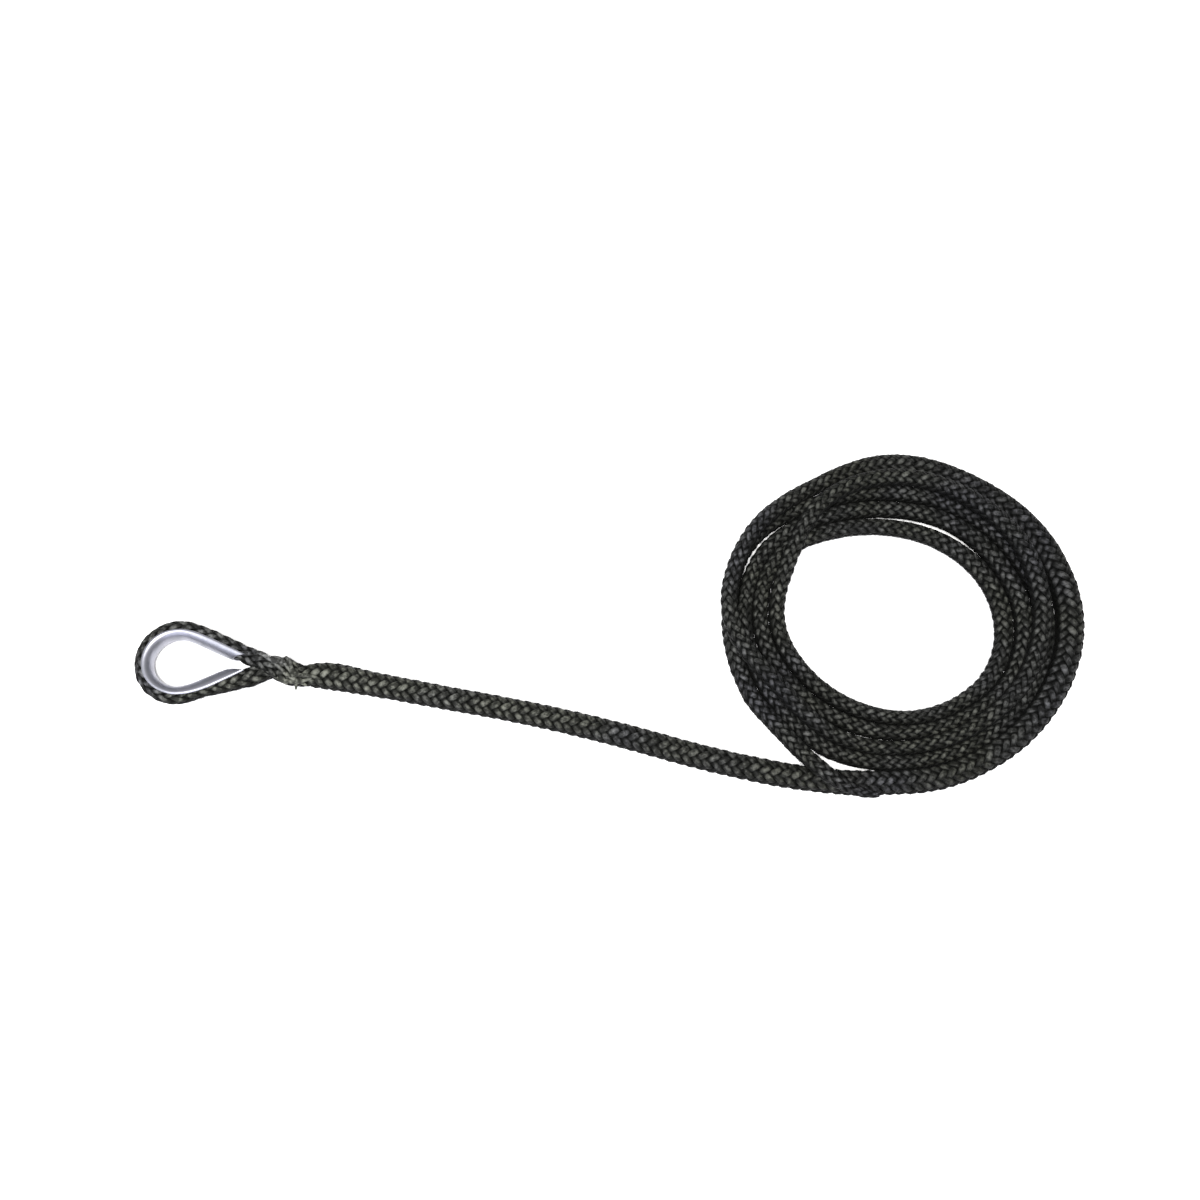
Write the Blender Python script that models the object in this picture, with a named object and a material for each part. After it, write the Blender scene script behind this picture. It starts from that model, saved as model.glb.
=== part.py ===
"""A steel thimble held in the spliced eye of a braided rope, with the rope laid out and coiled.

The row's origin is on the ground under the middle of the eye. +X runs along the rope, from
the eye towards the coil, and +Z points up. Lists of route points are in millimetres.
"""

import math

import bmesh
import bpy
from mathutils import Vector

MM = 0.001

# Rope: a hollow braid. Over its own buried tail it is round and thick, and it is flatter where single.
COVER_RADIUS = 5.3 * MM
COVER_WALL = 1.3 * MM
BURIED_RADIUS = 3.6 * MM
COVER_CENTRE_Z = 5.45 * MM
TAIL_RADIUS = 3.0 * MM
TAIL_TIP_RADIUS = 1.4 * MM
TAIL_TAPER_FROM = 0.45
TAIL_STEP = 4.8 * MM
CORD_SIDES = 12
CORD_STEP = 6.0 * MM
FIT_GAP = 0.3 * MM

# Thimble: a channel bent to a drop shape, for 8 mm (5/16 in) rope.
CROWN_RADIUS = 10.25 * MM
CROWN_CENTRE_X = -15.7 * MM
LEG_ANGLE = math.radians(24.0)
LEG_END_X = 4.2 * MM
TIP_BEND_X = 7.8 * MM
TIP_BEND_HALF_GAP = 2.35 * MM
TIP_X = 10.6 * MM
TIP_HALF_GAP = 2.1 * MM
THIMBLE_HEIGHT = 10.5 * MM
THIMBLE_SHEET = 1.2 * MM
GROOVE_BOW = 3.4 * MM
TIP_BOW = 1.8 * MM
FLANGE = 0.9 * MM
CROWN_STEPS = 30
LEG_STEPS = 7
SHEET_STEPS = 10

# The eye: single rope seated in the thimble's groove.
SEAT = THIMBLE_SHEET + FIT_GAP
SQUARING_LENGTH = 10.0 * MM
EYE_HALF_WIDTH = 3.15 * MM
EYE_HALF_HEIGHT = 3.6 * MM
EYE_CENTRE_Z = THIMBLE_HEIGHT / 2
EYE_STEP = 2.2 * MM
EYE_ARC_FROM, EYE_ARC_TO = math.radians(65.0), math.radians(295.0)
EYE_ARC_STEPS = 12
# Each leg past the crown: x, y, half width.
UPPER_LEG = (
    (14.3, 2.1, 3.9),
    (13.0, 4.2, 3.2),
    (10.8, 6.6, 2.7),
    (6.8, 7.8, 2.8),
    (2.8, 8.9, 3.0),
    (-3.2, 11.3, 3.15),
)
LOWER_LEG = ((-3.2, -11.85, 3.15), (6.0, -9.4, 3.4), (11.4, -7.5, 3.6), (14.3, -6.75, 3.7))

# The locked tucks between the eye and the bury: x, y, half width, half height.
LOCK_CENTRE_Z = 5.3 * MM
LOCK_STEP = 1.7 * MM
LOCK_STATIONS = (
    (15.2, -2.4, 7.8, 4.0),
    (17.5, -2.2, 6.9, 4.4),
    (20.5, -2.4, 5.6, 4.9),
    (24.3, -2.3, 4.7, 4.6),
    (28.0, -2.5, 5.7, 5.2),
    (31.0, -3.7, 5.8, 5.3),
    (33.64, -4.4, 5.4, 5.3),
)

# The standing part's route over the ground, from the splice to where the coil begins.
STANDING_ROUTE = (
    (34.6, -4.5),
    (40.5, -5.0),
    (47.5, -6.2),
    (69.7, -10.4),
    (86.6, -13.6),
    (99.2, -16.1),
    (120.2, -20.0),
    (145.2, -25.3),
    (170.2, -31.6),
    (203.0, -40.7),
    (227.6, -46.5),
    (244.0, -49.4),
    (256.0, -51.0),
    (268.4, -51.7),
    (280.0, -51.5),
    (287.8, -50.9),
)

# The coil's solid: the outer shape of all its turns, read every 30 degrees from the -Y side.
COIL_CENTRE = Vector((288.4 * MM, 18.5 * MM, 0.0))
COIL_INNER = (38.8, 39.4, 41.4, 40.2, 38.2, 37.3, 38.2, 43.8, 49.3, 48.0, 43.4, 40.0)
COIL_OUTER = (75.2, 73.6, 75.2, 78.4, 77.4, 74.8, 75.6, 72.8, 74.6, 75.4, 74.7, 73.4)
COIL_HEIGHT = (10.9, 14.0, 15.0, 14.5, 17.0, 17.6, 18.0, 18.0, 17.2, 17.2, 16.0, 11.6)
COIL_START = math.radians(270.0)
COIL_STEP = math.radians(7.5)
COIL_ROUNDING = 3.6 * MM
# Between these angles the first turn and the rope's end lie outside the solid.
NOTCH_FROM, NOTCH_TO = math.radians(231.0), math.radians(270.6)
NOTCH_RADII = (67.6, 66.6, 64.6, 63.8)

# The rope's bare end leaves the coil, climbs over the standing part and lies along it: x, y, z.
TAIL_ROUTE = (
    (244.3, -39.4, 9.2),
    (247.1, -42.8, 12.0),
    (251.2, -47.4, 14.4),
    (257.5, -52.5, 14.5),
    (265.0, -56.4, 12.8),
    (272.0, -58.2, 10.9),
    (279.0, -58.2, 9.6),
)


def clear_scene():
    for obj in list(bpy.data.objects):
        bpy.data.objects.remove(obj, do_unlink=True)


def material(name, colour, roughness, metallic):
    made = bpy.data.materials.new(name)
    made.use_nodes = True
    shader = made.node_tree.nodes["Principled BSDF"]
    shader.inputs["Base Color"].default_value = (*colour, 1.0)
    shader.inputs["Roughness"].default_value = roughness
    shader.inputs["Metallic"].default_value = metallic
    return made


def steel():
    return material("galvanised_steel", (0.60, 0.61, 0.64), 0.36, 1.0)


def braid():
    return material("black_braid", (0.030, 0.031, 0.030), 0.62, 0.0)


def add_object(name, data, finish):
    data.materials.append(finish)
    obj = bpy.data.objects.new(name, data)
    bpy.context.scene.collection.objects.link(obj)
    return obj


def catmull(a, b, c, d, t):
    """The point a share t of the way from b to c, on the smooth curve through a, b, c and d."""
    return 0.5 * (
        2 * b
        + (c - a) * t
        + (2 * a - 5 * b + 4 * c - d) * t**2
        + (3 * b - 3 * c + d - a) * t**3
    )


def smooth_route(points, step):
    """Points about one step apart on a smooth curve through the given ones."""
    ends = [2 * points[0] - points[1], *points, 2 * points[-1] - points[-2]]
    route = [points[0]]
    for a, b, c, d in zip(ends, ends[1:], ends[2:], ends[3:]):
        count = max(1, round((c - b).length / step))
        route += [catmull(a, b, c, d, k / count) for k in range(1, count + 1)]
    return route


def around(values, angle):
    """A value at this angle, from a list that goes round the coil from its start in equal steps."""
    place = (angle - COIL_START) / math.tau * len(values)
    k = math.floor(place)
    near = [values[(k + j) % len(values)] for j in (-1, 0, 1, 2)]
    return catmull(*near, place - k)


def skin(name, rings, finish, closed=False):
    """A solid through rings of points: capped at both ends, or closed on itself."""
    bm = bmesh.new()
    rows = [[bm.verts.new(p) for p in ring] for ring in rings]
    pairs = list(zip(rows, rows[1:]))
    if closed:
        pairs.append((rows[-1], rows[0]))
    for one, two in pairs:
        for k in range(len(one)):
            after = (k + 1) % len(one)
            bm.faces.new((one[k], one[after], two[after], two[k]))
    if not closed:
        bm.faces.new(rows[0][::-1])
        bm.faces.new(rows[-1])
    bmesh.ops.recalc_face_normals(bm, faces=bm.faces)
    mesh = bpy.data.meshes.new(name)
    bm.to_mesh(mesh)
    bm.free()
    mesh.shade_smooth()
    mesh.set_sharp_from_angle(angle=math.radians(40))
    return add_object(name, mesh, finish)


def side_normals(route):
    """Level directions square to a level route, pointing to its right-hand side."""
    found = []
    for k in range(len(route)):
        along = route[min(k + 1, len(route) - 1)] - route[max(k - 1, 0)]
        found.append(Vector((along.y, -along.x, 0)).normalized())
    return found


def oval_ring(centre, side, half_width, half_height, sides=CORD_SIDES):
    angles = [math.tau * (k + 0.5) / sides for k in range(sides)]
    lift = Vector((0, 0, half_height))
    return [centre + side * half_width * math.cos(a) + lift * math.sin(a) for a in angles]


def thimble_half():
    """Places on the hole's edge from the crown to the +Y tip, each with its outward normal."""
    places = []
    turn_end = math.pi / 2 - LEG_ANGLE
    centre = Vector((CROWN_CENTRE_X, 0, 0))
    for k in range(CROWN_STEPS // 2 + 1):
        angle = math.pi + (turn_end - math.pi) * k / (CROWN_STEPS // 2)
        normal = Vector((math.cos(angle), math.sin(angle), 0))
        places.append((centre + normal * CROWN_RADIUS, normal))
    start, normal = places[-1]
    leg_y = start.y - (LEG_END_X - start.x) * math.tan(LEG_ANGLE)
    leg_end = Vector((LEG_END_X, leg_y, 0))
    for k in range(1, LEG_STEPS + 1):
        places.append((start.lerp(leg_end, k / LEG_STEPS), normal))
    places.append((Vector((TIP_BEND_X, TIP_BEND_HALF_GAP, 0)), Vector((0.2, 0.98, 0))))
    places.append((Vector((TIP_X, TIP_HALF_GAP, 0)), Vector((0, 1, 0))))
    return places


def mirrored(vector):
    return Vector((vector.x, -vector.y, vector.z))


def sheet_section(bow, half_height):
    """The channel's section as (outwards, up): a half oval with a short straight flange at each lip."""
    arc = [math.pi * (k / SHEET_STEPS - 0.5) for k in range(SHEET_STEPS + 1)]
    bows = [(bow * (1 - math.cos(a)), half_height * math.sin(a)) for a in arc]
    inner_bow, inner_height = bow - THIMBLE_SHEET, half_height - THIMBLE_SHEET
    backs = [(bow - inner_bow * math.cos(a), inner_height * math.sin(a)) for a in reversed(arc)]
    lip = bow + FLANGE
    return (
        [(lip, -half_height), *bows, (lip, half_height)]
        + [(lip, inner_height), *backs, (lip, -inner_height)]
    )


def make_thimble(finish):
    half = thimble_half()
    places = [(mirrored(p), mirrored(n)) for p, n in reversed(half[1:])] + half
    middle = Vector((0, 0, THIMBLE_HEIGHT / 2))
    rings = []
    for place, normal in places:
        outwards = normal.normalized()
        flatter = min(1.0, max(0.0, (place.x - LEG_END_X) / (TIP_X - LEG_END_X)))
        bow = GROOVE_BOW + (TIP_BOW - GROOVE_BOW) * flatter
        section = sheet_section(bow, THIMBLE_HEIGHT / 2)
        rings.append([place + middle + outwards * out + Vector((0, 0, up)) for out, up in section])
    return skin("thimble", rings, finish)


def eye_route():
    """The rope's centre line, up one leg, round the crown and down the other. Its z is the half width."""
    radius = CROWN_RADIUS + SEAT + EYE_HALF_WIDTH
    arc = []
    for k in range(EYE_ARC_STEPS + 1):
        angle = EYE_ARC_FROM + (EYE_ARC_TO - EYE_ARC_FROM) * k / EYE_ARC_STEPS
        x = CROWN_CENTRE_X + radius * math.cos(angle)
        arc.append(Vector((x, radius * math.sin(angle), EYE_HALF_WIDTH)))
    upper = [Vector(p) * MM for p in UPPER_LEG]
    lower = [Vector(p) * MM for p in LOWER_LEG]
    return smooth_route(upper + arc + lower, EYE_STEP)


def make_eye_rope(finish):
    route = eye_route()
    rings = []
    for place, side in zip(route, side_normals(route)):
        squared = min(1.0, max(0.0, (place.x - LEG_END_X) / SQUARING_LENGTH))
        across = Vector((0, math.copysign(1, side.y), 0))
        centre = Vector((place.x, place.y, EYE_CENTRE_Z))
        rings.append(oval_ring(centre, side.lerp(across, squared).normalized(), place.z, EYE_HALF_HEIGHT))
    return skin("eye_rope", rings, finish)


def make_splice_lock(finish):
    stations = [Vector((x, y, w)) * MM for x, y, w, _ in LOCK_STATIONS]
    heights = [Vector((x, h, 0)) * MM for x, _, _, h in LOCK_STATIONS]
    rings = []
    for place, height in zip(smooth_route(stations, LOCK_STEP), smooth_route(heights, LOCK_STEP)):
        centre = Vector((place.x, place.y, LOCK_CENTRE_Z))
        rings.append(oval_ring(centre, Vector((0, -1, 0)), place.z, height.y, 16))
    return skin("splice_lock", rings, finish)


def cord_curve(name, route, radius, tips, caps, finish):
    """A plain round tube on a poly line. tips gives the share of the radius at each point."""
    curve = bpy.data.curves.new(name, "CURVE")
    curve.dimensions = "3D"
    curve.bevel_depth = radius
    curve.bevel_resolution = 4
    curve.use_fill_caps = caps
    line = curve.splines.new("POLY")
    line.points.add(len(route) - 1)
    for point, place, share in zip(line.points, route, tips):
        point.co = (*place, 1.0)
        point.radius = share
    line.use_smooth = True
    return add_object(name, curve, finish)


def standing_route():
    points = [Vector((x * MM, y * MM, COVER_CENTRE_Z)) for x, y in STANDING_ROUTE]
    return smooth_route(points, CORD_STEP)


def make_standing_cover(finish):
    route = standing_route()
    cover = cord_curve("standing_cover", route, COVER_RADIUS, [1.0] * len(route), False, finish)
    wall = cover.modifiers.new("wall", "SOLIDIFY")
    wall.thickness = COVER_WALL
    wall.offset = -1.0
    return cover


def make_buried_tail(finish):
    route = standing_route()
    return cord_curve("buried_tail", route, BURIED_RADIUS, [1.0] * len(route), True, finish)


def coil_outer(angle):
    """The solid's outer radius in millimetres, pulled in where the first turn lies outside it."""
    if NOTCH_FROM < angle < NOTCH_TO:
        place = (angle - NOTCH_FROM) / (NOTCH_TO - NOTCH_FROM) * (len(NOTCH_RADII) - 1)
        k = min(int(place), len(NOTCH_RADII) - 2)
        return NOTCH_RADII[k] + (NOTCH_RADII[k + 1] - NOTCH_RADII[k]) * (place - k)
    return around(COIL_OUTER, angle)


def rounded_section(inner, outer, height):
    """A rounded box as (radius, up), going round it."""
    r = COIL_ROUNDING
    lower = ((inner + r, r, 180), (outer - r, r, 270))
    upper = ((outer - r, height - r, 0), (inner + r, height - r, 90))
    points = []
    for x, z, first in lower + upper:
        for k in range(3):
            angle = math.radians(first + 45 * k)
            points.append((x + r * math.cos(angle), z + r * math.sin(angle)))
    return points


def coil_angles():
    """Equal steps right round, with a close pair at each end of the notch."""
    turn = [COIL_START + COIL_STEP * k for k in range(round(math.tau / COIL_STEP))]
    pair = math.radians(0.25)
    edges = [NOTCH_FROM - pair, NOTCH_FROM + pair, NOTCH_TO - pair, NOTCH_TO + pair]
    turn = [a for a in turn if min(abs((a - e + math.pi) % math.tau - math.pi) for e in edges) > 2 * pair]
    return sorted(a % math.tau for a in turn + edges)


def make_rope_coil(finish):
    rings = []
    for angle in coil_angles():
        outwards = Vector((math.cos(angle), math.sin(angle), 0))
        inner = around(COIL_INNER, angle) * MM
        height = around(COIL_HEIGHT, angle) * MM
        section = rounded_section(inner, coil_outer(angle) * MM, height)
        rings.append([COIL_CENTRE + outwards * r + Vector((0, 0, up)) for r, up in section])
    return skin("rope_coil", rings, finish, closed=True)


def make_tail_end(finish):
    points = [Vector(p) * MM for p in TAIL_ROUTE]
    route = smooth_route(points, TAIL_STEP)
    thin = TAIL_TIP_RADIUS / TAIL_RADIUS
    shares = []
    for k in range(len(route)):
        along = max(0.0, (k / (len(route) - 1) - TAIL_TAPER_FROM) / (1 - TAIL_TAPER_FROM))
        shares.append(1.0 + (thin - 1.0) * along)
    return cord_curve("tail_end", route, TAIL_RADIUS, shares, True, finish)


def main():
    clear_scene()
    metal, rope = steel(), braid()
    make_thimble(metal)
    make_eye_rope(rope)
    make_splice_lock(rope)
    make_standing_cover(rope)
    make_buried_tail(rope)
    make_rope_coil(rope)
    make_tail_end(rope)


main()
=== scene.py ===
"""The looks of a steel thimble in the spliced eye of a black braided rope, laid out and coiled.

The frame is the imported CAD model: +X runs along the rope from the eye, +Z is up and the origin is
on the ground under the eye. Routes are lists of points in millimetres, as in the CAD source.
"""

import math

import bpy
import numpy as np
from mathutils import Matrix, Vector


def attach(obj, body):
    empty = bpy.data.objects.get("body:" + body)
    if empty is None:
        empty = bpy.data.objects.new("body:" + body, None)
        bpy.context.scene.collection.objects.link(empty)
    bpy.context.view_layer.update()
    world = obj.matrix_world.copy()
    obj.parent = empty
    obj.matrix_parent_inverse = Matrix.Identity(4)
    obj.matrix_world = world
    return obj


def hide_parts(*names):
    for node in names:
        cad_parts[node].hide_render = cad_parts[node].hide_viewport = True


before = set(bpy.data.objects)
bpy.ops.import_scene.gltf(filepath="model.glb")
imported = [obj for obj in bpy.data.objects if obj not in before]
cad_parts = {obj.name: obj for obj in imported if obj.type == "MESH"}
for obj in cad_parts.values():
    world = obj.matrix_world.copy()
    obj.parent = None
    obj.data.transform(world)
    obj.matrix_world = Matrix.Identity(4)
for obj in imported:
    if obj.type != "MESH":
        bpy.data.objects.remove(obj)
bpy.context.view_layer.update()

MM = 0.001
TAU = math.tau

# Camera: straight across the rope from the near side, looking steeply down.
CAMERA_LENS = 45.0
CAMERA_ELEVATION = math.radians(72.0)
CAMERA_DISTANCE = 0.645
CAMERA_TARGET = Vector((0.16185, 0.0290, 0.0))

# Rope: a hollow braid of sixteen strands, eight of each hand, over two and under two.
STRANDS = 8  # of each hand
STRAND_SIDES = 8
UNDER_DEPTH = 0.42  # how far a strand dives under, as a share of its thickness
SHADE_TUBE_SIDES = 8
SHADE_TUBE_INSET = 1.45  # from the rope's outline to the black tube inside it, painted shade for its hollow, in strand thicknesses
SIDE_LIGHT_SHARE = 0.20  # how much of its wear and painted light a strand keeps on the rope's sides, which are painted darker
NOISE_SHIFT = 7.3  # keeps the fibres of one strand unlike those of the next
CYCLE = 34.0  # the length in which a strand goes once round the free rope
EYE_CYCLE = 44.0  # and round the rope in the eye
RING_STEP = 1.2
EYE_RING_STEP = 0.9
FREE_SEED, EYE_SEED = 7, 11
# How much the strands wander: all round together, each round, in depth, in width and in tone.
SWAY, DRIFT, UNEVEN, WIDTH_SPREAD, TONE_SPREAD = 0.12, 0.05, 0.10, 0.06, 0.25

# The rope over its buried tail: its half width and half height, and its strands' thickness.
COVER = 5.4
COVER_STRAND = 1.8
# Small swellings and dips of its half width along it: place, half length and height.
COVER_SWELLS = ((16, 12, 0.75), (0, 7, -1.3), (88, 40, -0.22))
# In the coil it is pressed wider. Place and half length are degrees round the coil.
COVER_PRESSED = (95, 50, 1.0)
# The buried tail ends here, in degrees round the coil, and the rope narrows to a single one.
TAPER_TURNED = (160, 205)
# The single rope is flatter: its half width every 30 degrees round the coil.
SINGLE_WIDE = (3.3, 3.5, 4.05, 4.5, 4.45, 4.1, 3.9, 3.75, 3.65, 3.75, 3.9, 3.6)
SINGLE_HIGH = 4.4
SINGLE_STRAND = 1.45
# Toward its bare end it is rounder, and then narrows.
END_LENGTH = 45.0
END_WIDE, END_HIGH = 3.5, 3.4
END_ROUND_BY, END_NARROW_FROM = 0.35, 0.4  # as shares of that length
END_NARROWING = 0.62

# The standing part over the ground, from the splice to where the coil begins.
STANDING_Z = 5.45
STANDING_ROUTE = (
    (34.6, -6.8),
    (39.5, -5.9),
    (47.5, -6.1),
    (69.7, -10.4),
    (86.6, -13.6),
    (99.2, -16.1),
    (120.2, -20.0),
    (145.2, -25.3),
    (170.2, -31.6),
    (203.0, -40.7),
    (227.6, -46.5),
    (244.0, -49.4),
    (256.0, -51.0),
    (268.4, -51.7),
    (280.0, -51.5),
)
ROUTE_STEP = 6.0

# The coil: each turn's radius and height about its centre, every 30 degrees from its -Y side.
COIL_CENTRE = (288.4, 18.5)
TURNS = (
    (
        (69.6, 68.2, 69.8, 72.8, 72.3, 70.3, 71.2, 68.3, 71.6, 72.0, 60.7, 58.6),
        (5.4, 5.4, 5.4, 5.4, 5.4, 5.4, 5.4, 8.2, 13.2, 13.0, 11.6, 6.5),
    ),
    (
        (55.5, 55.0, 57.0, 59.7, 61.6, 61.6, 62.1, 59.4, 52.5, 51.7, 47.3, 43.8),
        (4.6, 9.0, 10.5, 10.8, 12.6, 13.2, 13.6, 13.6, 10.5, 4.6, 4.4, 4.4),
    ),
    (
        (42.9, 43.3, 45.2, 44.9, 43.0, 41.2, 41.9, 47.2, 57.2, 58.7, 54.9, 51.0),
        (4.4, 4.4, 4.4, 4.4, 4.4, 4.4, 4.4, 4.4, 4.4, 4.4, 4.4, 4.4),
    ),
    (
        (49.2, 49.6, 52.5, 53.3, 51.3, 50.6, 50.3, 54.5, 63.4, 65.4, 64.0, 64.8),
        (5.0, 5.4, 5.4, 5.4, 5.4, 5.0, 4.6, 4.4, 4.4, 4.4, 4.4, 4.4),
    ),
    (
        (61.5, 60.8, 61.3, 62.6, 60.2, 58.4, 58.2, 61.7, 71.2, 71.5, 71.4),
        (4.4, 4.4, 4.4, 4.4, 4.4, 4.4, 4.6, 4.4, 4.4, 4.4, 4.6),
    ),
)
TURN_STEP = 30.0
COIL_READ = 5.0  # degrees between the points that are read from the turns
FIRST_ANGLE = 270.0  # the coil's -Y side
COIL_BEGINS = 10  # after the last point of the standing route

# The bare end: it leaves the coil, climbs over the standing part and lies along it.
TAIL_ROUTE = (
    (244.3, -39.4, 9.2),
    (247.1, -42.8, 12.0),
    (251.2, -47.4, 14.4),
    (257.0, -52.3, 14.6),
    (263.5, -55.6, 12.9),
    (269.5, -57.2, 10.9),
    (275.0, -57.2, 9.4),
)
TAIL_STEP = 4.8

# The thimble's round crown, its height over the lips and its sheet.
CROWN_CENTRE_X, CROWN_RADIUS = -15.7, 10.25
THIMBLE_HEIGHT = 10.5
THIMBLE_SHEET = 1.1
LIP_ANGLES = (60.0, 30.0, 0.0, -30.0, -60.0)
BEND_STEPS = 24  # in the half circle of the channel's section
EYE_Z = THIMBLE_HEIGHT / 2
# The rope in the groove: how far out from the bow, and its arc round the crown, in degrees.
EYE_ROPE_OUT = 4.65
EYE_ARC = (65.0, 295.0)
EYE_ARC_STEPS = 12
EYE_SHIFT_Y = -0.3  # of the arc, off the eye's middle line
# Its half width in the groove and in the tucks, its half height and its strands' thickness.
GROOVE_WIDE, TUCK_WIDE = 3.5, 3.7
EYE_HIGH = 3.7
EYE_STRAND = 1.35
EYE_TUCK = 14  # how long each end is as wide as in the tucks, and then how long it takes to narrow
EYE_ENDING = (9, 0.9)  # the length and depth of each end's last taper, inside the splice
# It swells at the throat: place along X, half length and height. One side is pressed out by this.
THROAT_SWELL = (16.5, 4, 0.55)
PRESSED_OUT = 0.4
# The thimble's channel from one tip to the other: x, y of its bow and x, y of its lips' edge.
CHANNEL = (
    (6.6, 1.0, 13.6, 1.9),
    (2.2, 2.8, 6.2, 5.5),
    (-4.6, 5.9, -1.7, 9.2),
    (-9.8, 8.2, -8.4, 11.9),
    (-14.2, 9.5, -14.6, 13.0),
    (-19.2, 8.8, -21.2, 11.8),
    (-23.6, 5.6, -26.9, 7.6),
    (-25.8, 0.5, -29.7, 0.8),
    (-24.7, -5.0, -28.7, -6.3),
    (-20.9, -9.2, -24.2, -11.9),
    (-15.2, -11.0, -17.4, -15.0),
    (-9.6, -9.8, -10.2, -15.0),
    (-3.6, -7.2, -2.6, -12.9),
    (4.2, -3.8, 5.2, -9.3),
    (8.6, -3.3, 10.2, -6.8),
    (12.6, -4.3, 13.4, -5.1),
)

# Strands pulled out of the splice over the tucks at its throat: half width, half height, routes.
LOOSE_WIDE, LOOSE_HIGH = 0.95, 0.6
LOOSE_STRANDS = (
    (
        (24.0, 1.0, 8.4),
        (27.0, 0.8, 8.3),
        (30.0, -1.6, 9.2),
        (32.4, -4.4, 8.9),
        (34.2, -7.4, 9.2),
        (35.0, -10.0, 7.4),
        (34.7, -12.3, 6.0),
    ),
    (
        (29.8, 1.7, 7.0),
        (32.1, -1.0, 9.6),
        (33.4, -4.6, 9.5),
        (36.2, -7.0, 10.2),
        (41.4, -7.7, 10.8),
        (45.5, -8.8, 10.3),
    ),
    (
        (27.5, -7.4, 6.8),
        (31.0, -8.8, 6.9),
        (36.5, -9.6, 8.6),
        (42.2, -8.4, 10.5),
    ),
    (
        (19.5, -2.6, 8.8),
        (24.0, -5.2, 7.2),
        (28.2, -8.2, 6.4),
        (31.0, -9.8, 5.2),
    ),
    (
        (24.6, -0.8, 9.8),
        (28.0, -3.6, 9.0),
        (31.5, -6.6, 8.4),
        (36.0, -9.2, 8.8),
        (39.5, -10.9, 7.3),
    ),
    (
        (16.6, 3.6, 8.7),
        (20.6, 2.0, 9.1),
        (24.6, -0.4, 10.0),
        (28.4, -1.2, 9.1),
        (33.0, -1.6, 8.4),
    ),
)


def cubic(a, b, c, d, t):
    """The curve through b and c, at the share t of the way, with a before them and d after."""
    return 0.5 * (
        2 * b
        + (c - a) * t
        + (2 * a - 5 * b + 4 * c - d) * t**2
        + (3 * b - 3 * c + d - a) * t**3
    )


def eased(share):
    """A share from 0 to 1, made to start and stop gently."""
    return share * share * (3 - 2 * share)


def smooth(points, step):
    """Points about one step apart on a smooth curve through the given ones."""
    p = [np.array(x, float) for x in points]
    p = [2 * p[0] - p[1], *p, 2 * p[-1] - p[-2]]
    route = [p[1]]
    for a, b, c, d in zip(p, p[1:], p[2:], p[3:]):
        count = max(1, round(float(np.linalg.norm(c - b)) / step))
        for k in range(1, count + 1):
            route.append(cubic(a, b, c, d, k / count))
    return np.array(route)


def lengths(line):
    """How far along the line each of its points is."""
    return np.concatenate([[0], np.cumsum(np.linalg.norm(np.diff(line, axis=0), axis=1))])


def even(line, step):
    """The line read again at equal steps, on a cubic through its points."""
    fine = smooth(line, step / 3)
    fine_along = lengths(fine)
    count = max(2, round(fine_along[-1] / step))
    at = np.linspace(0, fine_along[-1], count + 1)
    return np.stack([np.interp(at, fine_along, fine[:, k]) for k in range(3)], axis=1)


def softened(line, reach):
    """The line with its small kinks rounded off over about that many points; its ends stay."""
    offsets = np.arange(-3 * reach, 3 * reach + 1)
    weights = np.exp(-0.5 * (offsets / reach) ** 2)
    weights /= weights.sum()
    pad = len(offsets) // 2
    first = 2 * line[0] - line[pad:0:-1]
    last = 2 * line[-1] - line[-2 : -pad - 2 : -1]
    long = np.vstack([first, line, last])
    return np.stack([np.convolve(long[:, k], weights, "valid") for k in range(3)], axis=1)


def coil_route():
    """The coil's turns, read every few degrees round its centre."""
    radii = [r for turn in TURNS for r in turn[0]]
    heights = [z for turn in TURNS for z in turn[1]]
    polar = np.array([(k, r, z) for k, (r, z) in enumerate(zip(radii, heights))])
    reads = int(TURN_STEP / COIL_READ)
    points = []
    ends = [2 * polar[0] - polar[1], *polar, 2 * polar[-1] - polar[-2]]
    for a, b, c, d in zip(ends, ends[1:], ends[2:], ends[3:]):
        for k in range(reads):
            points.append(cubic(a, b, c, d, k / reads))
    points.append(polar[-1])
    route = []
    for place, radius, height in points:
        angle = math.radians(FIRST_ANGLE + TURN_STEP * place)
        x = COIL_CENTRE[0] + radius * math.cos(angle)
        y = COIL_CENTRE[1] + radius * math.sin(angle)
        route.append((x, y, height))
    return route


def standing_route():
    return smooth([(x, y, STANDING_Z) for x, y in STANDING_ROUTE], ROUTE_STEP)


def rope_route():
    """The whole free rope, from the splice to the bare end, in millimetres."""
    tail = smooth(TAIL_ROUTE, TAIL_STEP)
    dense = np.vstack([standing_route(), np.array(coil_route()), tail])
    return softened(even(dense, RING_STEP), 3)


def frames(line):
    """Along, sideways and upwards directions at each point of a line that lies fairly level."""
    along = np.gradient(line, axis=0)
    along /= np.linalg.norm(along, axis=1)[:, None]
    side = np.cross(along, (0, 0, 1))
    side /= np.linalg.norm(side, axis=1)[:, None]
    return along, side, np.cross(side, along)


def wander(count, scale, seed):
    """A smooth random line of that many values, about -1 to 1, whose waves are about scale long."""
    random = np.random.default_rng(seed)
    knots = random.uniform(-1, 1, max(4, int(count / scale) + 4))
    at = np.linspace(0, len(knots) - 1.001, count)
    k = at.astype(int)
    t = eased(at - k)
    return knots[k] * (1 - t) + knots[np.minimum(k + 1, len(knots) - 1)] * t


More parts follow.
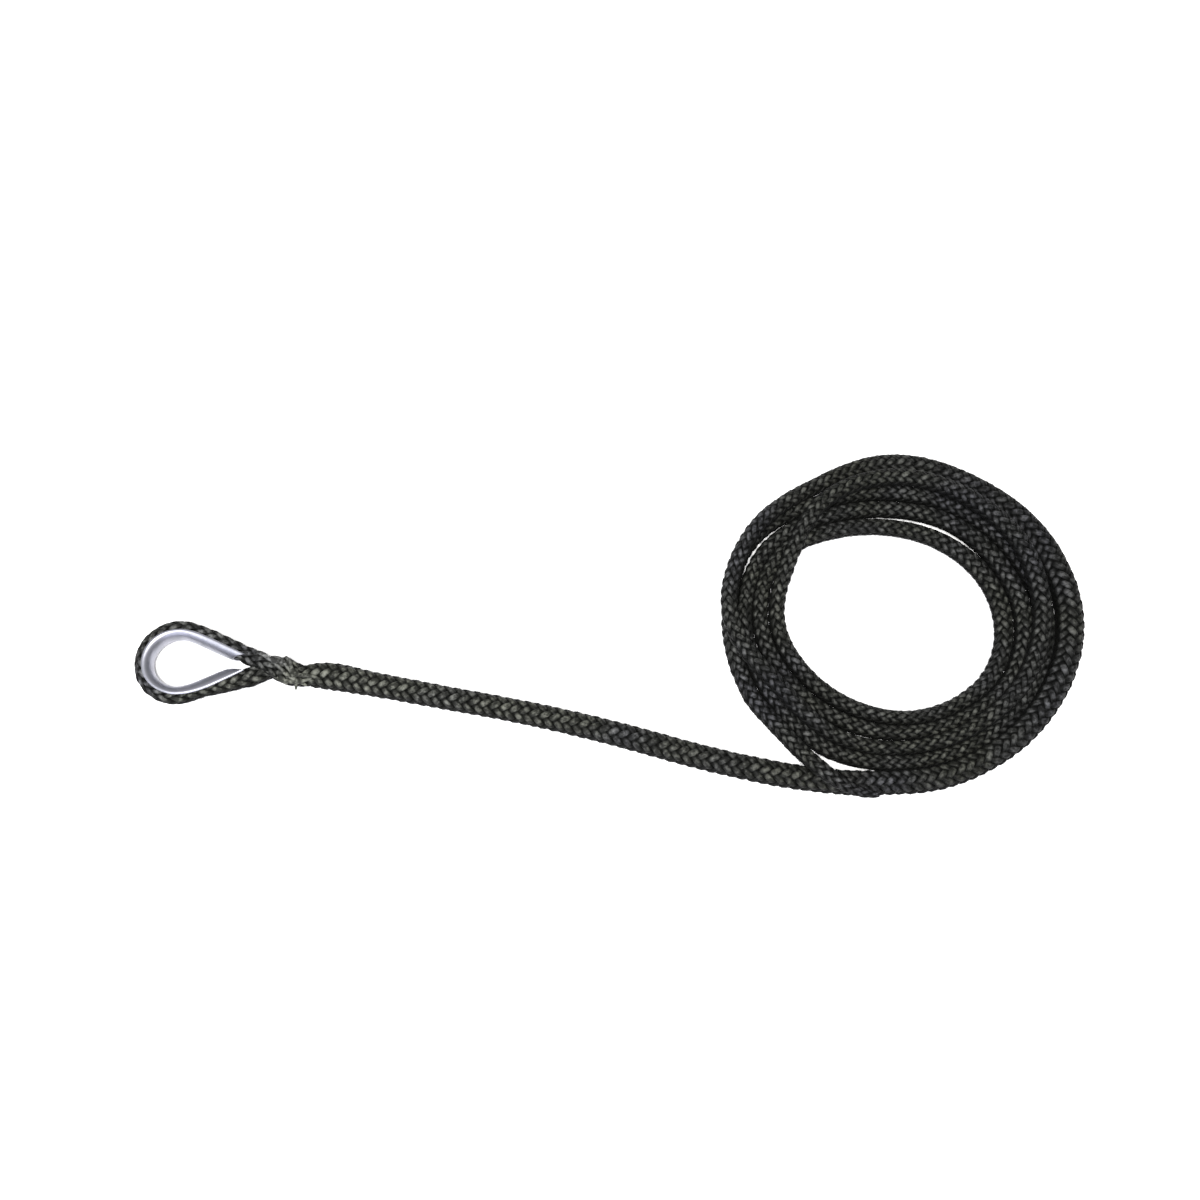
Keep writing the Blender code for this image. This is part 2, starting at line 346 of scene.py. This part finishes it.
class Pieces:
    """Tubes gathered into one mesh, with two attributes for its finish.

    yarn is length along, place round and tone. The other is how far a point stands out of the braid
    and faces up; from it the finish paints wear from rubbing on the crowns, a painted highlight on
    the rope's top and painted shade in the grooves and on the sides.
    """

    def __init__(self):
        self.points, self.faces, self.yarn, self.wear_and_painted_light = [], [], [], []
        self.count = 0

    def tube(self, rings, along, tone, wear_and_painted_light):
        """rings is an array of rings of points.

        along and tone have a value for each ring, and lift one for each point.
        """
        n, sides = rings.shape[:2]
        base = self.count
        self.points.append(rings.reshape(-1, 3))
        self.count += n * sides
        ring = np.arange(n - 1)[:, None] * sides
        here, after = np.arange(sides), (np.arange(sides) + 1) % sides
        corners = [ring + here, ring + after, ring + sides + after, ring + sides + here]
        quads = np.stack(corners, axis=2)
        self.faces += (quads.reshape(-1, 4) + base).tolist()
        round_it = np.stack([here, here + 1, here + 1, here], axis=1) / sides
        u = np.stack([along[:-1], along[:-1], along[1:], along[1:]], axis=1)
        corner = np.zeros((n - 1, sides, 4, 3), np.float32)
        corner[..., 0] = u[:, None, :]
        corner[..., 1] = round_it[None, :, :] + NOISE_SHIFT * tone[0]
        corner[..., 2] = tone[:-1][:, None, None]
        self.yarn.append(corner.reshape(-1, 3))
        for ring_start, order in ((0, -1), ((n - 1) * sides, 1)):
            cap = [base + ring_start + k for k in range(sides)]
            self.faces.append(cap[::order])
            self.yarn.append(np.tile([along[0], 0.0, tone[0]], (sides, 1)).astype(np.float32))
        self.wear_and_painted_light.append(wear_and_painted_light.reshape(-1).astype(np.float32))

    def build(self, name, finish):
        """One object of all the tubes, in metres."""
        mesh = bpy.data.meshes.new(name)
        mesh.from_pydata((np.vstack(self.points) * MM).tolist(), [], self.faces)
        mesh.update()
        yarn = mesh.attributes.new("yarn", "FLOAT_VECTOR", "CORNER")
        yarn.data.foreach_set("vector", np.vstack(self.yarn).ravel())
        wear_and_painted_light = mesh.attributes.new("wear_and_painted_light", "FLOAT", "POINT")
        wear_and_painted_light.data.foreach_set("value", np.concatenate(self.wear_and_painted_light))
        mesh.shade_smooth()
        mesh.materials.append(finish)
        obj = bpy.data.objects.new(name, mesh)
        bpy.context.scene.collection.objects.link(obj)
        return obj


def oval(sides, fullness=0.8):
    """Points round a fairly full oval, one unit in half width and half height."""
    a = np.arange(sides) / sides * TAU
    c, s = np.cos(a), np.sin(a)
    return np.sign(c) * np.abs(c) ** fullness, np.sign(s) * np.abs(s) ** fullness


def braid(pieces, line, wide, high, thick, turn, seed, part=None):
    """Strands of both hands braided round a line, and a black tube inside them as painted shade.

    wide and high are the rope's half width and half height at each point, thick the strands'
    thickness and turn how far the strands have gone round the rope. part keeps only a slice.
    """
    n = len(line)
    part = part or slice(0, n)
    _, side, up = frames(line)
    along = lengths(line)
    random = np.random.default_rng(seed)
    cosine, sine = oval(STRAND_SIDES)
    pitch = TAU / np.maximum(np.gradient(turn) / np.gradient(along), 1e-6)
    sway = SWAY * wander(n, 40, seed + 1)
    for hand in (1, -1):
        # The second hand starts half a strand further round.
        offset = math.pi / STRANDS if hand < 0 else 0
        for k in range(STRANDS):
            own = k + 10 * hand
            tone = random.uniform(0, 1)
            phi = hand * (turn + sway) + TAU * k / STRANDS + offset
            phi = phi + DRIFT * wander(n, 9, seed * 100 + own + 50)

            # Over is 1 where the strand lies on top of the other hand and -1 where it dives under.
            wave = np.cos(STRANDS / 2 * phi) * hand
            over = np.sign(wave) * np.abs(wave) ** 0.8
            uneven = UNEVEN * wander(n, 6, seed * 77 + own + 30)
            depth = thick * (0.5 + UNDER_DEPTH * (1 - over)) - uneven
            c, s = np.cos(phi)[:, None], np.sin(phi)[:, None]
            a, b = (wide - depth)[:, None], (high - depth)[:, None]
            centre = line + side * c * a + up * s * b
            outward = side * c * b + up * s * a
            forward = np.gradient(centre, axis=0)
            forward /= np.linalg.norm(forward, axis=1)[:, None]
            outward -= forward * (outward * forward).sum(1)[:, None]
            outward /= np.linalg.norm(outward, axis=1)[:, None]
            across = np.cross(forward, outward)

            # The strands of one hand lie edge to edge round the oval.
            reach = np.hypot(a[:, 0] * s[:, 0], b[:, 0] * c[:, 0])
            width = pitch / STRANDS * np.sin(np.arctan2(TAU * reach, pitch))
            width = width * (1 + WIDTH_SPREAD * wander(n, 7, seed * 55 + own + 20))
            flat_part = across[:, None, :] * (width / 2)[:, None, None] * cosine[None, :, None]
            thick_part = outward[:, None, :] * (thick / 2)[:, None, None] * sine[None, :, None]
            rings = centre[:, None, :] + flat_part + thick_part

            # How far each point stands out and faces up: wear from rubbing and a painted highlight
            # where high, painted shade where strands dive under and on the rope's sides and
            # underside.
            stands_out = 0.5 + 0.5 * over[:, None] + 0.175 * (sine[None, :] - 1)
            upward = ((rings - line[:, None, :]) * up[:, None, :]).sum(2) / high[:, None]
            lit = np.clip((upward + 0.15) / 0.95, 0, 1)
            wear_and_painted_light = stands_out * (SIDE_LIGHT_SHARE + (1 - SIDE_LIGHT_SHARE) * lit)
            tones = np.clip(tone + TONE_SPREAD * wander(n, 12, seed * 33 + own), 0, 1)
            pieces.tube(rings[part], along[part], tones[part], wear_and_painted_light[part])

    # A black tube inside the strands, painted shade for the rope's hollow: its points carry zero in
    # the finish's mask, so it is painted black.
    a = np.arange(SHADE_TUBE_SIDES) / SHADE_TUBE_SIDES * TAU
    shade_tube_wide = (wide - SHADE_TUBE_INSET * thick)[:, None] * np.cos(a)
    shade_tube_high = (high - SHADE_TUBE_INSET * thick)[:, None] * np.sin(a)
    shade_tube = line[:, None, :] + side[:, None, :] * shade_tube_wide[..., None]
    shade_tube = shade_tube + up[:, None, :] * shade_tube_high[..., None]
    pieces.tube(shade_tube[part], along[part], np.zeros(n)[part], np.zeros((n, SHADE_TUBE_SIDES))[part])


def bumps(at, centre, reach, height):
    """A smooth hump of that half length and height, at each place along."""
    return height * np.exp(-(((at - centre) / reach) ** 2))


def grey(value):
    return (value, value, value)


def node(tree, kind, **inputs):
    """A shader node with those values in its inputs."""
    made = tree.nodes.new(kind)
    for name, value in inputs.items():
        made.inputs[name.replace("_", " ")].default_value = value
    return made


def ramp(tree, source, low, high, colours):
    """The first colour up to low, the second from high, and a blend between."""
    made = tree.nodes.new("ShaderNodeValToRGB")
    made.color_ramp.elements[0].position = low
    made.color_ramp.elements[1].position = high
    made.color_ramp.elements[0].color = (*colours[0], 1)
    made.color_ramp.elements[1].color = (*colours[1], 1)
    tree.links.new(source, made.inputs["Fac"])
    return made.outputs["Color"]


def mixed(tree, factor, first, second, blend="MIX"):
    """A colour mix. factor, first and second are sockets or plain values."""
    made = tree.nodes.new("ShaderNodeMix")
    made.data_type = "RGBA"
    made.blend_type = blend
    for index, value in ((0, factor), (6, first), (7, second)):
        if isinstance(value, bpy.types.NodeSocket):
            tree.links.new(value, made.inputs[index])
        else:
            made.inputs[index].default_value = value
    return made.outputs[2]


def maths(tree, operation, first, second=0.0):
    """One sum. first and second are sockets or plain values."""
    made = tree.nodes.new("ShaderNodeMath")
    made.operation = operation
    for index, value in enumerate((first, second)):
        if isinstance(value, bpy.types.NodeSocket):
            tree.links.new(value, made.inputs[index])
        else:
            made.inputs[index].default_value = value
    return made.outputs[0]


def rope_material():
    """Coated black fibre: fine yarns along each strand, dusty and pale from rubbing where a strand
    crowns, with a painted highlight on the rope's top and painted shade in the grooves, on its
    sides and inside it.
    """
    made = bpy.data.materials.new("black_braid")
    made.use_nodes = True
    tree = made.node_tree
    shader = tree.nodes["Principled BSDF"]
    yarn = tree.nodes.new("ShaderNodeAttribute")
    yarn.attribute_name = "yarn"
    split = tree.nodes.new("ShaderNodeSeparateXYZ")
    tree.links.new(yarn.outputs["Vector"], split.inputs[0])
    wear_and_painted_light = tree.nodes.new("ShaderNodeAttribute")
    wear_and_painted_light.attribute_name = "wear_and_painted_light"

    # Noise drawn out along the strand for its fibres, and in space for dust and patches.
    stretched = tree.nodes.new("ShaderNodeCombineXYZ")
    for axis, scale in enumerate((0.22, 15.0, 5.0)):
        scaled = maths(tree, "MULTIPLY", split.outputs[axis], scale)
        tree.links.new(scaled, stretched.inputs[axis])
    fibres = node(tree, "ShaderNodeTexNoise", Scale=1.0, Detail=3.0, Roughness=0.6)
    tree.links.new(stretched.outputs[0], fibres.inputs["Vector"])
    place = tree.nodes.new("ShaderNodeTexCoord")
    dust = node(tree, "ShaderNodeTexNoise", Scale=420.0, Detail=4.0, Roughness=0.65)
    patches = node(tree, "ShaderNodeTexNoise", Scale=22.0, Detail=2.0)
    for texture in (dust, patches):
        tree.links.new(place.outputs["Object"], texture.inputs["Vector"])

    dark_fibre, pale_fibre = grey(0.002), (0.017, 0.018, 0.016)
    violet, olive = (0.80, 0.78, 1.00), (1.04, 1.05, 0.80)
    base = ramp(tree, fibres.outputs["Fac"], 0.30, 0.72, (dark_fibre, pale_fibre))
    tint = ramp(tree, patches.outputs["Fac"], 0.34, 0.56, (violet, olive))
    # Pale crowns: wear from rubbing where strands stand out, and a painted highlight on the rope's
    # top, since the mask grows where the rope faces up.
    rubbed_and_lit = ramp(tree, wear_and_painted_light.outputs["Fac"], 0.70, 1.0, (grey(0), grey(1)))
    speckle = ramp(tree, dust.outputs["Fac"], 0.44, 0.62, (grey(0.10), grey(1)))
    rubbed_and_lit = mixed(tree, 1.0, rubbed_and_lit, speckle, "MULTIPLY")
    worn_and_highlit = mixed(tree, rubbed_and_lit, base, (0.175, 0.178, 0.172, 1))
    tinted = mixed(tree, 0.5, worn_and_highlit, tint, "MULTIPLY")
    # Painted shade: black where strands dive under and toward the rope's sides and underside, and
    # on the tube inside the rope.
    painted_crevice_shade = ramp(tree, wear_and_painted_light.outputs["Fac"], 0.12, 0.72, (grey(0), grey(1)))
    strand = ramp(tree, split.outputs[2], 0.0, 1.0, (grey(0.72), grey(1.25)))
    shaded = mixed(tree, 1.0, mixed(tree, 1.0, tinted, painted_crevice_shade, "MULTIPLY"), strand, "MULTIPLY")

    # The rope is darker from the standing part to the coil.
    position = tree.nodes.new("ShaderNodeSeparateXYZ")
    tree.links.new(place.outputs["Object"], position.inputs[0])
    toward_coil = ramp(tree, position.outputs[0], 0.08, 0.26, (grey(0.72), grey(0.385)))
    colour = mixed(tree, 1.0, shaded, toward_coil, "MULTIPLY")
    tree.links.new(colour, shader.inputs["Base Color"])

    rough = ramp(tree, fibres.outputs["Fac"], 0.3, 0.7, (grey(0.62), grey(0.44)))
    tree.links.new(rough, shader.inputs["Roughness"])
    shader.inputs["Specular IOR Level"].default_value = 0.075
    shader.inputs["Sheen Weight"].default_value = 0.01
    shader.inputs["Sheen Roughness"].default_value = 0.5

    bump = node(tree, "ShaderNodeBump", Strength=0.55, Distance=0.00022)
    tree.links.new(fibres.outputs["Fac"], bump.inputs["Height"])
    fine = node(tree, "ShaderNodeBump", Strength=0.25, Distance=0.0001)
    tree.links.new(dust.outputs["Fac"], fine.inputs["Height"])
    tree.links.new(bump.outputs["Normal"], fine.inputs["Normal"])
    tree.links.new(fine.outputs["Normal"], shader.inputs["Normal"])
    return made


def steel_material():
    """Zinc plating: satin and a little cloudy, with fine draw lines and pits."""
    made = bpy.data.materials.new("galvanised_steel")
    made.use_nodes = True
    tree = made.node_tree
    shader = tree.nodes["Principled BSDF"]
    place = tree.nodes.new("ShaderNodeTexCoord")
    cloud = node(tree, "ShaderNodeTexNoise", Scale=120.0, Detail=5.0, Roughness=0.6)
    grain = node(tree, "ShaderNodeTexNoise", Scale=1500.0, Detail=3.0)
    for texture in (cloud, grain):
        tree.links.new(place.outputs["Object"], texture.inputs["Vector"])
    flat = tree.nodes.new("ShaderNodeMapping")
    flat.inputs["Scale"].default_value = (60.0, 60.0, 1800.0)
    tree.links.new(place.outputs["Object"], flat.inputs["Vector"])
    drawn = node(tree, "ShaderNodeTexNoise", Scale=1.0, Detail=3.0)
    tree.links.new(flat.outputs["Vector"], drawn.inputs["Vector"])

    dull_zinc, pale_zinc = (0.25, 0.255, 0.285), (0.36, 0.36, 0.41)
    base = ramp(tree, cloud.outputs["Fac"], 0.35, 0.68, (dull_zinc, pale_zinc))
    tree.links.new(base, shader.inputs["Base Color"])
    shader.inputs["Metallic"].default_value = 1.0
    rough = ramp(tree, cloud.outputs["Fac"], 0.3, 0.7, (grey(0.52), grey(0.38)))
    tree.links.new(rough, shader.inputs["Roughness"])

    lines = node(tree, "ShaderNodeBump", Strength=0.10, Distance=0.00008)
    tree.links.new(drawn.outputs["Fac"], lines.inputs["Height"])
    pits = node(tree, "ShaderNodeBump", Strength=0.12, Distance=0.00005)
    tree.links.new(grain.outputs["Fac"], pits.inputs["Height"])
    tree.links.new(lines.outputs["Normal"], pits.inputs["Normal"])
    tree.links.new(pits.outputs["Normal"], shader.inputs["Normal"])
    return made


def make_camera():
    data = bpy.data.cameras.new("camera")
    data.lens = CAMERA_LENS
    data.sensor_width = 36.0
    data.clip_start = 0.01
    camera = bpy.data.objects.new("camera", data)
    back = Vector((0, -math.cos(CAMERA_ELEVATION), math.sin(CAMERA_ELEVATION)))
    camera.location = CAMERA_TARGET + back * CAMERA_DISTANCE
    camera.rotation_euler = (math.pi / 2 - CAMERA_ELEVATION, 0, 0)
    bpy.context.scene.collection.objects.link(camera)
    bpy.context.scene.camera = camera


def area_light(name, place, aim, size, power, colour):
    data = bpy.data.lights.new(name, "AREA")
    data.shape = "DISK"
    data.size = size
    data.energy = power
    data.color = colour
    light = bpy.data.objects.new(name, data)
    light.location = place
    light.rotation_euler = (Vector(aim) - Vector(place)).to_track_quat("-Z", "Y").to_euler()
    bpy.context.scene.collection.objects.link(light)


def make_studio():
    """A plain pale floor under soft light from above and from the near side."""
    bpy.ops.mesh.primitive_plane_add(size=6.0, location=(0.16, 0, 0))
    floor = bpy.context.active_object
    floor.name = "floor"
    paper = bpy.data.materials.new("paper")
    paper.use_nodes = True
    shader = paper.node_tree.nodes["Principled BSDF"]
    shader.inputs["Base Color"].default_value = (0.92, 0.92, 0.92, 1)
    shader.inputs["Roughness"].default_value = 0.9
    shader.inputs["Specular IOR Level"].default_value = 0.1
    floor.data.materials.append(paper)
    world = bpy.data.worlds.new("studio")
    bpy.context.scene.world = world
    world.use_nodes = True
    background = world.node_tree.nodes["Background"]
    background.inputs["Color"].default_value = (0.97, 0.98, 1.0, 1)
    background.inputs["Strength"].default_value = 0.42
    area_light("key", (0.10, -0.30, 1.10), (0.16, 0, 0), 0.40, 25.0, (1.0, 0.99, 0.97))
    area_light("fill", (-0.60, -0.35, 0.75), (0.05, 0, 0), 0.6, 4.5, (0.90, 0.92, 1.0))
    area_light("front", (-0.15, -1.10, 0.35), (0.05, 0, 0), 0.9, 7.0, (0.80, 0.82, 1.0))
    bpy.context.scene.view_settings.view_transform = "Standard"


def make_free_rope(finish):
    """The free rope in three stretches: thick over the buried tail, then two of single rope."""
    line = rope_route()
    n = len(line)
    along = lengths(line)
    total = along[-1]
    x, y = line[:, 0] - COIL_CENTRE[0], line[:, 1] - COIL_CENTRE[1]
    angle = np.unwrap(np.arctan2(y, x))
    in_coil = along > lengths(standing_route())[-1] + COIL_BEGINS
    turned = np.degrees(angle - angle[np.argmax(in_coil)])
    taper = [along[np.argmax(in_coil & (turned > limit))] for limit in TAPER_TURNED]

    share = eased(np.clip((along - taper[0]) / (taper[1] - taper[0]), 0, 1))
    cover = COVER + sum(bumps(along, *swell) for swell in COVER_SWELLS)
    cover = cover + 0.06 * wander(n, 60, 3) + bumps(turned, *COVER_PRESSED)
    places = np.arange(len(SINGLE_WIDE) + 1) * TURN_STEP
    flat = np.interp(turned % 360, places, [*SINGLE_WIDE, SINGLE_WIDE[0]])
    single_high = SINGLE_HIGH - 0.5 * (flat - SINGLE_WIDE[0])
    wide = cover * (1 - share) + flat * share
    high = np.minimum(cover, COVER) * (1 - share) + single_high * share
    thick = COVER_STRAND * (1 - share) + SINGLE_STRAND * share

    near_end = np.clip((along - (total - END_LENGTH)) / END_LENGTH, 0, 1)
    rounder = np.clip(near_end / END_ROUND_BY, 0, 1)
    wide = wide + (END_WIDE - wide) * rounder
    high = high + (END_HIGH - high) * rounder
    last_share = np.clip((near_end - END_NARROW_FROM) / (1 - END_NARROW_FROM), 0, 1)
    narrow = 1 - END_NARROWING * last_share**1.4
    wide, high, thick = wide * narrow, high * narrow, thick * narrow
    turn = TAU * along / CYCLE

    first = int(np.argmax(along > taper[0] + 4))
    middle = (first + n) // 2
    cuts = (
        (0, first, "rope_over_tail"),
        (first, middle, "rope_middle_turns"),
        (middle, n - 1, "rope_last_turns"),
    )
    made = []
    for low, high_end, name in cuts:
        pieces = Pieces()
        part = slice(low, high_end + 1)
        braid(pieces, line, wide, high, thick, turn, FREE_SEED, part)
        made.append((pieces.build(name, finish), line[part] * MM))
    return made


def declare_ropes(made):
    """Sets the free rope's stretches to ride on the root body and hides the CAD nodes they replace;
    of the facts listed for each, only those nodes are read.
    """
    facts = (
        (0.0108, ("standing_cover", "buried_tail"), "object", "loose"),
        (0.008, ("rope_coil",), "object", "coiled"),
        (0.008, ("tail_end",), "bare", "coiled"),
    )
    for (piece, path), (diameter, nodes, far_end, lay) in zip(made, facts):
        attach(piece, "root")
        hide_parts(*nodes)


def eye_lines():
    """The rope round the thimble, with both legs run on into the splice where they cross."""
    radius = CROWN_RADIUS + EYE_ROPE_OUT
    arc = []
    for k in range(EYE_ARC_STEPS + 1):
        angle = math.radians(EYE_ARC[0] + (EYE_ARC[1] - EYE_ARC[0]) * k / EYE_ARC_STEPS)
        x = CROWN_CENTRE_X + radius * math.cos(angle)
        arc.append((x, radius * math.sin(angle) + EYE_SHIFT_Y, EYE_Z))
    upper = (
        (38.0, -8.0, 4.6),
        (32.0, -6.9, 4.4),
        (27.2, -4.8, 5.2),
        (24.0, -2.6, 6.8),
        (21.0, -0.7, 7.0),
        (17.1, 0.8, 6.2),
        (12.6, 3.1, 5.4),
        (8.4, 5.5, EYE_Z),
        (4.0, 7.5, EYE_Z),
        (-2.8, 10.6, EYE_Z),
    )
    lower = (
        (-3.2, -11.7, EYE_Z),
        (6.2, -9.4, EYE_Z),
        (13.2, -7.3, 5.2),
        (17.5, -5.7, 4.8),
        (20.5, -4.5, 4.2),
        (24.0, -2.8, 3.8),
        (27.5, -1.3, 4.8),
        (32.0, -2.6, 6.0),
        (37.5, -5.0, 5.6),
    )
    return upper + tuple(arc) + lower


def make_eye_rope(finish):
    """The rope in the thimble's groove, its two legs in the tucks and the loose strands on them."""
    line = softened(even(smooth(eye_lines(), 2.0), EYE_RING_STEP), 2)
    n = len(line)
    x, y = line[:, 0], line[:, 1]
    along = lengths(line)
    from_end = np.minimum(along, along[-1] - along)
    into = np.clip((from_end - EYE_TUCK) / EYE_TUCK, 0, 1)
    pressed = np.clip((x + 4) / 8, 0, 1) * np.clip((20 - x) / 6, 0, 1) * (y < -4)
    wide = GROOVE_WIDE * into + TUCK_WIDE * (1 - into)
    wide = wide + PRESSED_OUT * pressed + bumps(x, *THROAT_SWELL)
    ending = EYE_ENDING[1] * (1 - np.clip(from_end / EYE_ENDING[0], 0, 1))
    wide, high = wide - ending, EYE_HIGH - ending
    thick, turn = np.full(n, EYE_STRAND), TAU * along / EYE_CYCLE
    pieces = Pieces()
    braid(pieces, line, wide, high, thick, turn, EYE_SEED)

    cosine, sine = oval(STRAND_SIDES)
    for k, route in enumerate(LOOSE_STRANDS):
        strand = even(smooth(route, 1.5), 0.7)
        count = len(strand)
        _, side, up = frames(strand)
        thin = np.sin(np.linspace(0.35, math.pi - 0.2, count))[:, None, None] ** 0.4
        flat_part = side[:, None, :] * LOOSE_WIDE * cosine[None, :, None]
        thick_part = up[:, None, :] * LOOSE_HIGH * sine[None, :, None]
        rings = strand[:, None, :] + thin * (flat_part + thick_part)
        tones = np.full(count, 0.55 + 0.09 * k)
        # Painted highlight on the loose strands' tops and painted shade underneath, with the wear
        # of their crowns.
        wear_and_painted_light = 0.75 + 0.25 * sine[None, :] * np.ones((count, 1))
        pieces.tube(rings, lengths(strand), tones, wear_and_painted_light)
    piece = pieces.build("eye_braid", finish)
    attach(piece, "root")
    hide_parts("eye_rope", "splice_lock")


def channel_section(reach):
    """The bent strip's outline: how far out from the bow and how high, for lips that far out."""
    sheet = THIMBLE_SHEET
    out = reach - sheet / 2
    inner = max(out - sheet, 0.3 * out)
    bend = [math.radians(-90 + 180 * k / BEND_STEPS) for k in range(BEND_STEPS + 1)]
    lip = [math.radians(angle) for angle in LIP_ANGLES]
    points = []
    for turn in bend:
        points.append((out * (1 - math.cos(turn)), EYE_Z * (1 + math.sin(turn))))
    for turn in lip:
        height = THIMBLE_HEIGHT - sheet / 2 * (1 - math.sin(turn))
        points.append((out + sheet / 2 * math.cos(turn), height))
    for turn in reversed(bend):
        points.append((out - inner * math.cos(turn), EYE_Z + (EYE_Z - sheet) * math.sin(turn)))
    for turn in lip:
        points.append((out + sheet / 2 * math.cos(turn), sheet / 2 * (1 + math.sin(turn))))
    return points


def make_thimble(finish):
    """The thimble's strip, bent to a channel along its stations, with square ends."""
    stations = smooth(CHANNEL, 1.0)
    points, faces = [], []
    for bow_x, bow_y, lip_x, lip_y in stations:
        reach = math.hypot(lip_x - bow_x, lip_y - bow_y)
        for out, z in channel_section(reach):
            share = out / reach
            points.append((bow_x + (lip_x - bow_x) * share, bow_y + (lip_y - bow_y) * share, z))
    sides = len(points) // len(stations)
    for k in range(len(stations) - 1):
        here, after = k * sides, (k + 1) * sides
        for j in range(sides):
            i = (j + 1) % sides
            faces.append((here + j, here + i, after + i, after + j))
    last = (len(stations) - 1) * sides
    faces.append(tuple(range(sides))[::-1])
    faces.append(tuple(range(last, last + sides)))
    mesh = bpy.data.meshes.new("thimble_steel")
    mesh.from_pydata([tuple(c * MM for c in p) for p in points], [], faces)
    mesh.validate()
    mesh.shade_smooth()
    mesh.set_sharp_from_angle(angle=math.radians(50))
    mesh.materials.append(finish)
    obj = bpy.data.objects.new("thimble_steel", mesh)
    bpy.context.scene.collection.objects.link(obj)
    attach(obj, "root")
    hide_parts("thimble")


def main():
    make_camera()
    rope = rope_material()
    declare_ropes(make_free_rope(rope))
    make_eye_rope(rope)
    make_thimble(steel_material())
    make_studio()


main()
